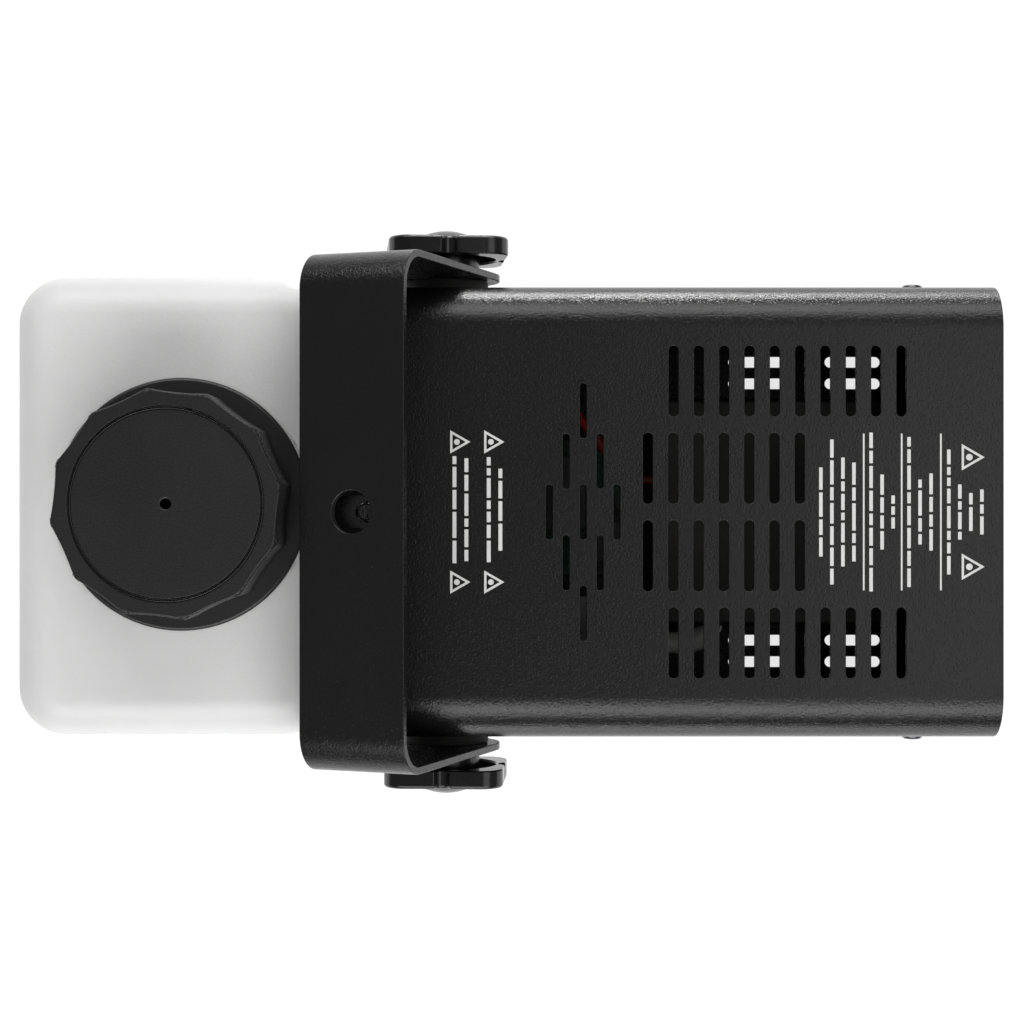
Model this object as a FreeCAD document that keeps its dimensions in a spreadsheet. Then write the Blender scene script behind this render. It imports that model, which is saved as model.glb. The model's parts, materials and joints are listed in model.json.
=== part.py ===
import FreeCAD, Part
import math
import os
import Sketcher

# Small hanging fog machine: folded steel case, rear fluid tank with a screw cap, tilting U strap.
# Row frame in mm: origin at the bottom centre, +X towards the nozzle, +Z up.

V = FreeCAD.Vector
doc = FreeCAD.newDocument("fog_machine")

DIMENSIONS = {
    "case_width": 150.0, "case_top": 108.0, "case_rear": -59.0, "case_front": 158.5,
    "cover_sheet": 1.0, "cover_radius": 15.0, "floor": 8.0, "pan_sheet": 1.2, "pan_half": 73.8,
    "pan_front": 157.0, "pedestal_rear": -160.0, "pedestal_top": 44.0, "pan_lip": 14.0,
    "foot_radius": 9.0, "foot_place": 148.0, "foot_side": 62.0,
    "tank_rear": -166.0, "tank_front": -62.0, "tank_width": 152.0, "tank_shift": 2.0,
    "tank_base": 45.0, "tank_wall": 1.8, "tank_corner": 16.0, "tank_edge": 13.0,
    "cap_place": -110.0, "cap_shift": 2.5, "cap_radius": 36.6, "cap_base": 111.0, "cap_top": 139.0,
    "cap_bore": 33.0, "cap_step": 30.1, "cap_line": 0.22, "vent_radius": 1.55, "collar_radius": 41.25,
    "collar_height": 2.5, "neck_radius": 30.8, "neck_bore": 28.5, "neck_top": 133.0,
    "pivot_place": -25.0, "pivot_level": 66.0, "strap_width": 36.0, "strap_sheet": 2.5,
    "strap_inside": 80.0, "strap_reach": 76.6, "strap_bend": 12.5, "strap_tail": 17.0,
    "strap_tilt": 21.0, "hang_radius": 6.75, "stud_radius": 4.0, "washer_radius": 14.5,
    "knob_half": 20.4, "knob_corner": 7.5, "knob_boss": 11.5,
    "dome_radius": 12.0, "dome_rise": 3.8, "knob_valley": 2.6, "knob_rim": 11.2, "insert_radius": 6.0,
    "slot_width": 3.1, "slot_length": 23.2, "slot_pitch": 8.27, "slot_inner": 14.3,
    "slot_outer": 42.8, "outer_first": 50.6, "inner_first": 42.2, "screw_head": 3.5,
    "side_screw_place": 135.1, "side_screw_level": 75.5, "clip_place": -49.6,
    "block_rear": 62.0, "block_front": 122.0, "block_half": 22.0, "block_base": 24.0,
    "block_top": 50.0, "nozzle_level": 37.0, "element_side": 12.0, "element_radius": 4.0,
    "shield_rear": 52.0, "shield_front": 129.0, "shield_half": 40.0, "shield_top": 61.0,
    "pump_side": -47.0, "pump_level": 44.0, "pump_place": 13.0, "plunger_radius": 4.0,
    "outlet_level": 58.0, "barb_radius": 2.5, "hose_radius": 4.0, "hose_bore": 2.55,
    "inlet_place": 70.0,
    "socket_level": 26.0, "inlet_side": 40.0, "remote_side": -42.0,
}

sheet = doc.addObject("Spreadsheet::Sheet", "Dims")
for row, (alias, value) in enumerate(DIMENSIONS.items(), start=1):
    sheet.set("A%d" % row, alias)
    sheet.set("B%d" % row, repr(value))
    sheet.setAlias("B%d" % row, alias)
doc.recompute()
D = DIMENSIONS
nodes = []


def named(text):
    """Turn bare sheet names in an expression into sheet references."""
    words = []
    word = ""
    for letter in text + " ":
        if letter.isalnum() or letter in "_.":
            word += letter
            continue
        words.append("Dims." + word if word in DIMENSIONS else word)
        words.append(letter)
        word = ""
    return "".join(words).strip()


def bind(target, key, value):
    """Drive a property by an expression of the sheet, or by a plain number."""
    target.setExpression(key, named(str(value)))


def body(name, keep=True):
    made = doc.addObject("PartDesign::Body", name)
    made.Label = name
    if keep:
        nodes.append(made)
    return made


def place(made, at=(0, 0, 0), axis=(0, 0, 1), turn=0.0):
    made.Placement = FreeCAD.Placement(V(0, 0, 0), FreeCAD.Rotation(V(*axis), turn))
    for letter, value in zip("xyz", at):
        bind(made, "Placement.Base." + letter, value)


def sketch(made, plane, level):
    """Sketch parallel to one of the body's own planes; level is its signed distance."""
    base = next(f for f in made.Origin.OriginFeatures if f.Role == plane + "_Plane")
    sk = made.newObject("Sketcher::SketchObject", made.Name + "_profile")
    sk.AttachmentSupport = (base, [""])
    sk.MapMode = "FlatFace"
    sign = "-1 * " if plane == "XZ" else ""
    bind(sk, "AttachmentOffset.Base.z", "%s(%s)" % (sign, level))
    return sk


def pin(sk, kind, arguments, value, start=1.0):
    index = sk.addConstraint(Sketcher.Constraint(kind, *arguments, start))
    sk.setExpression("Constraints[%d]" % index, named(str(value)))


def outline(sk, points):
    """Closed polygon whose corners are all given by expressions."""
    first = sk.GeometryCount
    count = len(points)
    for i in range(count):
        a = 2 * math.pi * i / count
        b = 2 * math.pi * (i + 1) / count
        sk.addGeometry(Part.LineSegment(V(math.cos(a), math.sin(a), 0), V(math.cos(b), math.sin(b), 0)))
    for i in range(count):
        sk.addConstraint(Sketcher.Constraint("Coincident", first + i, 2, first + (i + 1) % count, 1))
    for i, (across, up) in enumerate(points):
        pin(sk, "DistanceX", (-1, 1, first + i, 1), across)
        pin(sk, "DistanceY", (-1, 1, first + i, 1), up)


def rectangle(sk, low_u, high_u, low_v, high_v):
    outline(sk, [(low_u, low_v), (high_u, low_v), (high_u, high_v), (low_u, high_v)])


def circle(sk, across, up, radius):
    index = sk.addGeometry(Part.Circle(V(0, 0, 0), V(0, 0, 1), 1.0))
    pin(sk, "DistanceX", (-1, 1, index, 3), across)
    pin(sk, "DistanceY", (-1, 1, index, 3), up)
    pin(sk, "Radius", (index,), radius)


def through(made, plane, low, high, draw, cut=False):
    """Pad or pocket a drawing between two levels measured along the plane's axis."""
    sk = sketch(made, plane, "((%s) + (%s)) / 2" % (low, high))
    draw(sk)
    doc.recompute()
    kind = "PartDesign::Pocket" if cut else "PartDesign::Pad"
    feature = made.newObject(kind, made.Name + ("_cut" if cut else "_pad"))
    feature.Profile = sk
    feature.SideType = "Symmetric"
    bind(feature, "Length", "(%s) - (%s)" % (high, low))
    made.Tip = feature
    doc.recompute()
    return feature


def box(made, x, y, z, cut=False):
    return through(made, "XY", z[0], z[1], lambda sk: rectangle(sk, x[0], x[1], y[0], y[1]), cut)


def rod(made, plane, low, high, across, up, radius, cut=False):
    return through(made, plane, low, high, lambda sk: circle(sk, across, up, radius), cut)


def rods(made, plane, low, high, places, radius, cut=False):
    def draw(sk):
        for across, up in places:
            circle(sk, across, up, radius)
    return through(made, plane, low, high, draw, cut)


def boxes(made, plane, low, high, spans, cut=False):
    def draw(sk):
        for span in spans:
            rectangle(sk, *span)
    return through(made, plane, low, high, draw, cut)


def turned(made, points):
    """Solid of revolution about the body's own Z axis."""
    sk = sketch(made, "XZ", "0")
    outline(sk, points)
    doc.recompute()
    feature = made.newObject("PartDesign::Revolution", made.Name + "_turned")
    feature.Profile = sk
    feature.ReferenceAxis = (sk, ["V_Axis"])
    feature.Angle = 360.0
    made.Tip = feature
    doc.recompute()
    return feature


def domed(made, base, rise, radius):
    """Shallow spherical cap about the body's own Z axis; each argument is a name in the sheet."""
    low, high, wide = D[base], D[base] + D[rise], D[radius]
    curve = (wide ** 2 + D[rise] ** 2) / (2 * D[rise])
    circle_ = Part.Circle(V(0, high - curve, 0), V(0, 0, 1), curve)
    sk = sketch(made, "XZ", "0")
    sk.addGeometry(Part.ArcOfCircle(circle_, math.acos(wide / curve), math.pi / 2))
    sk.addGeometry(Part.LineSegment(V(0, high, 0), V(0, low, 0)))
    sk.addGeometry(Part.LineSegment(V(0, low, 0), V(wide, low, 0)))
    for first, second in ((0, 1), (1, 2), (2, 0)):
        sk.addConstraint(Sketcher.Constraint("Coincident", first, 2, second, 1))
    corners = (((0, 1), radius, wide, base, low), ((1, 1), "0", 0.0, "%s + %s" % (base, rise), high),
               ((2, 1), "0", 0.0, base, low))
    for corner, across, here, up, level in corners:
        pin(sk, "DistanceX", (-1, 1) + corner, across, here)
        pin(sk, "DistanceY", (-1, 1) + corner, up, level)
    pin(sk, "Radius", (0,), "(%s ^ 2 + %s ^ 2) / (2 * %s)" % (radius, rise, rise), curve)
    doc.recompute()
    feature = made.newObject("PartDesign::Revolution", made.Name + "_domed")
    feature.Profile = sk
    feature.ReferenceAxis = (sk, ["V_Axis"])
    feature.Angle = 360.0
    made.Tip = feature
    doc.recompute()
    return feature


def dress(made, kind, size, pick):
    """Fillet or chamfer the edges that pick() accepts."""
    base = made.Tip
    names = ["Edge%d" % (i + 1) for i, e in enumerate(base.Shape.Edges) if pick(e)]
    feature = made.newObject("PartDesign::" + kind, made.Name + "_" + kind.lower())
    feature.Base = (base, names)
    bind(feature, "Radius" if kind == "Fillet" else "Size", size)
    made.Tip = feature
    doc.recompute()
    return feature


def hollow(made, wall, open_face):
    base = made.Tip
    names = ["Face%d" % (i + 1) for i, f in enumerate(base.Shape.Faces) if open_face(f)]
    feature = made.newObject("PartDesign::Thickness", made.Name + "_hollow")
    feature.Base = (base, names)
    feature.Reversed = True
    bind(feature, "Value", wall)
    made.Tip = feature
    doc.recompute()
    return feature


def pattern(made, kind, originals, axis, span, count):
    feature = made.newObject("PartDesign::" + kind, made.Name + "_pattern")
    feature.Originals = originals
    if kind == "LinearPattern":
        feature.Direction = axis
        bind(feature, "Length", span)
    else:
        feature.Axis = axis
        feature.Angle = 360.0
    feature.Occurrences = count
    made.Tip = feature
    doc.recompute()
    return feature


def along(edge, letter):
    """True for straight edges parallel to an axis."""
    if edge.Curve.TypeId != "Part::GeomLine":
        return False
    return abs(getattr(edge.tangentAt(edge.FirstParameter), letter)) > 0.999


def flat(face, letter, sign):
    normal = face.normalAt(0, 0)
    return face.Surface.TypeId == "Part::GeomPlane" and sign * getattr(normal, letter) > 0.99


def level_of(edge, letter, value):
    box_ = edge.BoundBox
    low = getattr(box_, letter.upper() + "Min")
    high = getattr(box_, letter.upper() + "Max")
    return abs(low - value) < 0.01 and abs(high - value) < 0.01


def slots(made, plane, low, high, places, length, width, lengthwise):
    """Obround holes: a rectangle between two round ends, cut through the sheet."""
    half = "(%s - %s) / 2" % (length, width)
    spans = []
    ends = []
    for across, up in places:
        along_u = half if lengthwise == "u" else "%s / 2" % width
        along_v = half if lengthwise == "v" else "%s / 2" % width
        spans.append(("%s - %s" % (across, along_u), "%s + %s" % (across, along_u),
                      "%s - %s" % (up, along_v), "%s + %s" % (up, along_v)))
        for sign in ("-", "+"):
            shift = "%s %s" % (sign, half)
            ends.append((across + (shift if lengthwise == "u" else ""),
                         up + (shift if lengthwise == "v" else "")))
    first = boxes(made, plane, low, high, spans, cut=True)
    second = rods(made, plane, low, high, ends, "%s / 2" % width, cut=True)
    return first, second


def route(points, bend):
    """Straight runs joined by tangent arcs of one radius."""
    points = [V(*p) for p in points]
    edges = []
    start = points[0]
    for before, corner, after in zip(points, points[1:], points[2:]):
        inward = (before - corner).normalize()
        outward = (after - corner).normalize()
        half = inward.getAngle(outward) / 2
        reach = bend / math.tan(half)
        middle = (inward + outward).normalize()
        centre = corner + middle * (bend / math.sin(half))
        entry = corner + inward * reach
        leave = corner + outward * reach
        edges.append(Part.LineSegment(start, entry).toShape())
        edges.append(Part.Arc(entry, centre - middle * bend, leave).toShape())
        start = leave
    edges.append(Part.LineSegment(start, points[-1]).toShape())
    return Part.Wire(edges)


def cable(name, points, bend, radius, bore=0.0):
    """Hose or lead held at both ends; the path leaves its plane, so it is a plain feature."""
    wire = route(points, bend)
    start = V(*points[0])
    heading = V(*points[1]) - start
    shape = None
    for size in (radius, bore):
        if size <= 0:
            continue
        ring = Part.Wire([Part.Circle(start, heading, size).toShape()])
        tube = wire.makePipeShell([ring], True, True)
        shape = tube if shape is None else shape.cut(tube)
    if shape.ShapeType != "Solid":
        shape = shape.Solids[0]
    expected = math.pi * (radius ** 2 - bore ** 2) * wire.Length
    print("%s length %.1f bend %.1f volume ratio %.4f" % (name, wire.Length, bend, shape.Volume / expected))
    made = doc.addObject("Part::Feature", name)
    made.Label = name
    made.Shape = shape
    nodes.append(made)
    return made


# ---------------------------------------------------------------- chassis and case
pan = body("chassis_pan")
box(pan, ("pedestal_rear", "case_rear"), ("-pan_half", "pan_half"), ("floor", "pedestal_top"))
box(pan, ("pedestal_rear + pan_sheet", "case_rear + 5"), ("-pan_half + pan_sheet", "pan_half - pan_sheet"),
    ("floor + pan_sheet", "pedestal_top - pan_sheet"), cut=True)
box(pan, ("case_rear - 1", "pan_front"), ("-pan_half", "pan_half"), ("floor", "floor + pan_sheet"))
boxes(pan, "XY", "floor", "floor + pan_lip", [
    ("case_rear - 1", "case_front - 14", "pan_half - pan_sheet", "pan_half"),
    ("case_rear - 1", "case_front - 14", "-pan_half", "-pan_half + pan_sheet")])
FLOOR_CUT = ("floor - 1", "floor + pan_sheet + 1")
floor_slots = [(x, y) for x in ("89.8", "126.2") for y in ("48.4", "56.5", "-48.4", "-56.5")]
slots(pan, "XY", FLOOR_CUT[0], FLOOR_CUT[1], floor_slots, "20.8", "4.0", "u")
feet = [(x, y) for x in ("foot_place", "-foot_place") for y in ("foot_side", "-foot_side")]
rods(pan, "XY", FLOOR_CUT[0], FLOOR_CUT[1], feet, "2.0", cut=True)
REAR_WALL = ("pedestal_rear - 1", "pedestal_rear + pan_sheet + 1")
boxes(pan, "YZ", REAR_WALL[0], REAR_WALL[1], [
    ("inlet_side - 13.7", "inlet_side + 13.7", "socket_level - 14.2", "socket_level + 14.2"),
    ("-6.6", "6.6", "socket_level - 9.6", "socket_level + 9.6")], cut=True)
rod(pan, "YZ", REAR_WALL[0], REAR_WALL[1], "remote_side", "socket_level", "9.6", cut=True)

cover = body("top_cover")
box(cover, ("case_rear", "case_front"), ("-case_width / 2", "case_width / 2"), ("floor", "case_top"))
dress(cover, "Fillet", "cover_radius", lambda e: along(e, "x") and e.CenterOfMass.z > D["case_top"] - 1)
hollow(cover, "cover_sheet", lambda f: flat(f, "x", 1) or flat(f, "x", -1) or flat(f, "z", -1))
TOP_CUT = ("case_top - 3", "case_top + 2")
outer = slots(cover, "XY", TOP_CUT[0], TOP_CUT[1],
              [("outer_first", "slot_outer"), ("outer_first", "-slot_outer")],
              "slot_length", "slot_width", "v")
pattern(cover, "LinearPattern", list(outer), (outer[0].Profile[0], ["H_Axis"]), "slot_pitch * 9", 10)
inner = slots(cover, "XY", TOP_CUT[0], TOP_CUT[1],
              [("inner_first", "slot_inner"), ("inner_first", "-slot_inner")],
              "slot_length", "slot_width", "v")
pattern(cover, "LinearPattern", list(inner), (inner[0].Profile[0], ["H_Axis"]), "slot_pitch * 6", 7)
diamond = [("21.1", "33.1"), ("21.1", "-33.1"), ("15.5", "16.6"), ("15.5", "-16.6"), ("26.6", "16.6"),
           ("26.6", "-16.6"), ("10.0", "0"), ("21.1", "0"), ("32.1", "0")]
slots(cover, "XY", TOP_CUT[0], TOP_CUT[1], diamond, "18.0", "2.1", "v")
rod(cover, "XY", TOP_CUT[0], TOP_CUT[1], "clip_place", "0", "2.05", cut=True)
SIDE_CUT = ("-case_width / 2 - 2", "case_width / 2 + 2")
rod(cover, "XZ", SIDE_CUT[0], SIDE_CUT[1], "pivot_place", "pivot_level", "stud_radius + 0.1", cut=True)
rod(cover, "XZ", SIDE_CUT[0], SIDE_CUT[1], "side_screw_place", "side_screw_level", "2.0", cut=True)

front = body("front_panel")
box(front, ("case_front - 12", "case_front - 3"), ("-pan_half", "pan_half"),
    ("floor + 1.4", "case_top - 1.1"))
dress(front, "Fillet", "cover_radius - 1.2", lambda e: along(e, "x") and e.CenterOfMass.z > 90)
hollow(front, "cover_sheet", lambda f: flat(f, "x", -1))
FRONT_CUT = ("case_front - 6", "case_front - 1")
rod(front, "YZ", FRONT_CUT[0], FRONT_CUT[1], "0", "nozzle_level", "8.0", cut=True)
rods(front, "XY", "floor", "floor + 4", [("foot_place", "foot_side"), ("foot_place", "-foot_side")], "2.6",
     cut=True)
louvre = [(y, z) for y in ("-42", "42") for z in ("70", "78", "86")]
slots(front, "YZ", FRONT_CUT[0], FRONT_CUT[1], louvre, "36.0", "3.0", "u")

bulkhead = body("rear_bulkhead")
box(bulkhead, ("case_rear + 1", "case_rear + 9"), ("-pan_half", "pan_half"),
    ("pedestal_top + 0.2", "case_top - 1.1"))
dress(bulkhead, "Fillet", "cover_radius - 1.2", lambda e: along(e, "x") and e.CenterOfMass.z > 90)
hollow(bulkhead, "cover_sheet", lambda f: flat(f, "x", 1))
rod(bulkhead, "YZ", "case_rear", "case_rear + 4", "pump_side", "outlet_level", "7.0", cut=True)
rod(bulkhead, "XY", "case_top - 4", "case_top", "clip_place", "0", "2.05", cut=True)

grommet = body("hose_grommet")
rod(grommet, "YZ", "case_rear", "case_rear + 3", "pump_side", "outlet_level", "9.0")
through(grommet, "YZ", "case_rear + 0.95", "case_rear + 2.05",
        lambda sk: [circle(sk, "pump_side", "outlet_level", "9.5"),
                    circle(sk, "pump_side", "outlet_level", "6.95")], cut=True)
rod(grommet, "YZ", "case_rear - 1", "case_rear + 4", "pump_side", "outlet_level", "4.3", cut=True)

screws = body("cover_screws")
for side in ("1", "-1"):
    shank = sorted([float(side) * 66.0, float(side) * 75.1])
    head = sorted([float(side) * 75.0, float(side) * 77.8])
    cross = sorted([float(side) * 76.6, float(side) * 79.0])
    rod(screws, "XZ", shank[0], shank[1], "side_screw_place", "side_screw_level", "1.9")
    rod(screws, "XZ", head[0], head[1], "side_screw_place", "side_screw_level", "screw_head")
    dress(screws, "Fillet", "1.2", lambda e: level_of(e, "y", 77.8 * float(side)))
    boxes(screws, "XZ", cross[0], cross[1], [
        ("side_screw_place - 1.7", "side_screw_place + 1.7",
         "side_screw_level - 0.4", "side_screw_level + 0.4")],
        cut=True)
    boxes(screws, "XZ", cross[0], cross[1], [
        ("side_screw_place - 0.4", "side_screw_place + 0.4",
         "side_screw_level - 1.7", "side_screw_level + 1.7")],
        cut=True)

clip = body("tank_clip")
box(clip, ("case_rear - 9", "clip_place + 6"), ("-5.5", "5.5"), ("case_top", "case_top + 1.5"))
box(clip, ("case_rear - 9", "case_rear - 7.5"), ("-5.5", "5.5"), ("case_top - 2", "case_top + 1.5"))
dress(clip, "Fillet", "1.0", lambda e: along(e, "y") and e.CenterOfMass.x < D["case_rear"] - 8
      and e.CenterOfMass.z > D["case_top"])
rod(clip, "XY", "case_top - 1", "case_top + 3", "clip_place", "0", "2.05", cut=True)

clip_screw = body("clip_screw")
rod(clip_screw, "XY", "case_top - 8", "case_top + 1.6", "clip_place", "0", "1.95")
rod(clip_screw, "XY", "case_top + 1.5", "case_top + 4.1", "clip_place", "0", "screw_head")
dress(clip_screw, "Fillet", "1.2", lambda e: level_of(e, "z", D["case_top"] + 4.1))
for wide, long in (("0.4", "1.7"), ("1.7", "0.4")):
    box(clip_screw, ("clip_place - " + wide, "clip_place + " + wide), ("-" + long, long),
        ("case_top + 2.9", "case_top + 5"), cut=True)

rubber = body("rubber_feet")
rods(rubber, "XY", "0", "floor", feet, "foot_radius")
dress(rubber, "Fillet", "1.5", lambda e: level_of(e, "z", 0.0))
rods(rubber, "XY", "-1", "4.5", feet, "4.2", cut=True)
rods(rubber, "XY", "3", "floor + 1", feet, "2.1", cut=True)

foot_screws = body("feet_screws")
rods(foot_screws, "XY", "4.5", "floor + 5", feet, "1.9")
rods(foot_screws, "XY", "2.5", "4.5", feet, "screw_head")

# ---------------------------------------------------------------- tank and cap
pad = body("tank_pad")
box(pad, ("tank_rear + 12", "case_rear - 4"), ("-62", "62"), ("pedestal_top", "tank_base"))

TANK_LOW = "tank_shift - tank_width / 2"
TANK_HIGH = "tank_shift + tank_width / 2"
shell = body("tank_outside", keep=False)
box(shell, ("tank_rear", "tank_front"), (TANK_LOW, TANK_HIGH), ("tank_base", "case_top"))
dress(shell, "Fillet", "tank_corner", lambda e: along(e, "z"))
dress(shell, "Fillet", "tank_edge", lambda e: level_of(e, "z", D["case_top"]))
dress(shell, "Fillet", "6.0", lambda e: level_of(e, "z", D["tank_base"]))
rod(shell, "XY", "case_top - 12", "case_top", "cap_place", "cap_shift", "collar_radius + 0.7")
rod(shell, "XY", "case_top - 1", "neck_top", "cap_place", "cap_shift", "neck_radius")
for low, high in (("116", "117.6"), ("123", "124.6")):
    rod(shell, "XY", low, high, "cap_place", "cap_shift", "neck_radius + 1.4")
cavity = body("tank_inside", keep=False)
box(cavity, ("tank_rear + tank_wall", "tank_front - tank_wall"),
    (TANK_LOW + " + tank_wall", TANK_HIGH + " - tank_wall"),
     ("tank_base + tank_wall", "case_top - tank_wall"))
dress(cavity, "Fillet", "tank_corner - tank_wall", lambda e: along(e, "z"))
dress(cavity, "Fillet", "tank_edge - tank_wall", lambda e: level_of(e, "z", D["case_top"] - D["tank_wall"]))
dress(cavity, "Fillet", "4.2", lambda e: level_of(e, "z", D["tank_base"] + D["tank_wall"]))
rod(cavity, "XY", "case_top - 12", "neck_top + 1", "cap_place", "cap_shift", "neck_bore")
rod(cavity, "YZ", "tank_front - 3", "tank_front + 1", "pump_side", "outlet_level", "5.05")
tank = doc.addObject("Part::Cut", "tank")
tank.Label = "tank"
tank.Base = shell
tank.Tool = cavity
nodes.append(tank)

outlet = body("tank_outlet")
rod(outlet, "YZ", "tank_front - 7", "tank_front + 1", "pump_side", "outlet_level", "5.0")
rod(outlet, "YZ", "tank_front", "tank_front + 2", "pump_side", "outlet_level", "8.0")
rod(outlet, "YZ", "tank_front - 5", "tank_front - tank_wall", "pump_side", "outlet_level", "8.0")
rod(outlet, "YZ", "tank_front + 2", "tank_front + 14", "pump_side", "outlet_level", "barb_radius")
rod(outlet, "YZ", "tank_front - 8", "tank_front + 15", "pump_side", "outlet_level", "1.4", cut=True)

collar = body("filler_collar")
place(collar, ("cap_place", "cap_shift", "case_top"))
turned(collar, [("neck_radius + 0.2", "0"), ("collar_radius", "0"), ("collar_radius", "collar_height - 0.7"),
                ("collar_radius - 0.7", "collar_height"), ("neck_radius + 0.2", "collar_height")])

cap = body("cap_shell")
place(cap, ("cap_place", "cap_shift", "cap_base"), turn=9.3)
CAP_HEIGHT = "cap_top - cap_base"
rod(cap, "XY", "0", CAP_HEIGHT, "0", "0", "cap_radius")
dress(cap, "Chamfer", "0.8", lambda e: level_of(e, "z", D["cap_top"] - D["cap_base"]))
scallop = rod(cap, "XY", "-1", CAP_HEIGHT + " + 1", "116.6 * cos(15)", "116.6 * sin(15)", "81.7", cut=True)
pattern(cap, "PolarPattern", [scallop], (scallop.Profile[0], ["N_Axis"]), None, 12)
rod(cap, "XY", "-1", CAP_HEIGHT + " - 2.6", "0", "0", "cap_bore", cut=True)
through(cap, "XY", CAP_HEIGHT + " - 0.3", CAP_HEIGHT + " + 1",
        lambda sk: [circle(sk, "0", "0", "cap_step + cap_line"), circle(sk, "0", "0", "cap_step - cap_line")],
        cut=True)
rod(cap, "XY", "1", CAP_HEIGHT + " + 1", "0", "0", "vent_radius", cut=True)

seal = body("cap_seal")
place(seal, ("cap_place", "cap_shift", "neck_top + 0.05"))
turned(seal, [("2.2", "1.2"), ("27", "1.2"), ("27", "0"), ("cap_bore - 0.4", "0"), ("cap_bore - 0.4", "3.25"),
              ("2.2", "3.25")])

# ---------------------------------------------------------------- hanging strap and knobs
strap = body("bracket_strap")
place(strap, ("pivot_place", "0", "pivot_level"), (0, 1, 0), -D["strap_tilt"])
through(strap, "YZ", "-strap_width / 2", "strap_width / 2",
        lambda sk: rectangle(sk, "-strap_inside - strap_sheet", "strap_inside + strap_sheet", "-strap_tail",
                             "strap_reach"))
dress(strap, "Fillet", "strap_bend", lambda e: along(e, "x") and e.CenterOfMass.z > 50)
hollow(strap, "strap_sheet", lambda f: flat(f, "x", 1) or flat(f, "x", -1) or flat(f, "z", -1))
dress(strap, "Fillet", "15.0",
      lambda e: along(e, "y") and level_of(e, "z", -D["strap_tail"]) and e.Length < 5)
rod(strap, "XZ", "-strap_inside - 5", "strap_inside + 5", "0", "0", "stud_radius + 0.15", cut=True)
rod(strap, "XY", "strap_reach - 5", "strap_reach + 2", "0", "0", "hang_radius", cut=True)

washers = body("spacer_washers")
place(washers, ("pivot_place", "0", "pivot_level"))
studs = body("pivot_studs")
place(studs, ("pivot_place", "0", "pivot_level"))
for side in (1, -1):
    span = sorted([side * (D["case_width"] / 2), side * (D["strap_inside"] - 0.1)])
    rod(washers, "XZ", span[0], span[1], "0", "0", "washer_radius")
    rod(washers, "XZ", span[0] - 1, span[1] + 1, "0", "0", "stud_radius + 0.1", cut=True)
    span = sorted([side * 70.0, side * 93.0])
    rod(studs, "XZ", span[0], span[1], "0", "0", "stud_radius")
    span = sorted([side * 69.0, side * (D["case_width"] / 2 - D["cover_sheet"])])
    rod(studs, "XZ", span[0], span[1], "0", "0", "7.0")

for name, turn, sign, skew in (("left", -90.0, "", 5.0), ("right", 90.0, "-", -2.6)):
    knob = body("knob_" + name)
    stance = FreeCAD.Rotation(V(0, 1, 0), skew) * FreeCAD.Rotation(V(1, 0, 0), turn)
    place(knob, ("pivot_place", sign + "(strap_inside + strap_sheet + 0.1)", "pivot_level"), stance.Axis,
          math.degrees(stance.Angle))
    through(knob, "XY", "4.9", "knob_rim",
            lambda sk: rectangle(sk, "-knob_half", "knob_half", "-knob_half", "knob_half"))
    dress(knob, "Fillet", "knob_corner", lambda e: along(e, "z"))
    notches = [("knob_half + 0.6", "0"), ("-knob_half - 0.6", "0"), ("0", "knob_half + 0.6"),
               ("0", "-knob_half - 0.6")]
    rods(knob, "XY", "4", "14", notches, "knob_valley", cut=True)
    dress(knob, "Fillet", "0.9",
          lambda e: along(e, "z") and min(abs(e.CenterOfMass.x), abs(e.CenterOfMass.y)) < 4
          and max(abs(e.CenterOfMass.x), abs(e.CenterOfMass.y)) > D["knob_half"] - 0.1)
    dress(knob, "Fillet", "1.2", lambda e: level_of(e, "z", D["knob_rim"]))
    rod(knob, "XY", "0", "5", "0", "0", "knob_boss")
    domed(knob, "knob_rim", "dome_rise", "dome_radius")
    through(knob, "XY", "4", "8.4",
            lambda sk: [circle(sk, "0", "0", "17.2"), circle(sk, "0", "0", "knob_boss")], cut=True)
    rod(knob, "XY", "-1", "11.4", "0", "0", "insert_radius", cut=True)
    insert = body("knob_insert_" + name)
    place(insert, ("pivot_place", sign + "(strap_inside + strap_sheet + 0.1)", "pivot_level"),
          (1, 0, 0), turn)
    rod(insert, "XY", "0.1", "11.2", "0", "0", "insert_radius")
    rod(insert, "XY", "-1", "12", "0", "0", "stud_radius + 0.06", cut=True)

# ---------------------------------------------------------------- heater
block = body("heater_block")
box(block, ("block_rear", "block_front"), ("-block_half", "block_half"), ("block_base", "block_top"))
dress(block, "Chamfer", "2.0", lambda e: along(e, "x"))
rods(block, "YZ", "block_rear - 1", "block_front - 4", [("element_side", "nozzle_level"),
     ("-element_side", "nozzle_level")], "element_radius + 0.05", cut=True)
rod(block, "YZ", "block_front - 6", "block_front + 1", "0", "nozzle_level", "4.55", cut=True)
rod(block, "XZ", "-block_half - 1", "-block_half + 5", "inlet_place", "pump_level", "3.55", cut=True)

element = body("heating_element")
rods(element, "YZ", "block_rear - 6", "block_front - 5", [("element_side", "nozzle_level"),
     ("-element_side", "nozzle_level")], "element_radius")
rods(element, "YZ", "block_rear - 10", "block_rear - 6", [("element_side", "nozzle_level"),
     ("-element_side", "nozzle_level")], "1.6")

standoffs = body("heater_standoffs")
corners = [(x, y) for x in ("block_rear + 8", "block_front - 8") for y in ("16", "-16")]
rods(standoffs, "XY", "floor + pan_sheet", "block_base", corners, "3.5")

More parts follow.
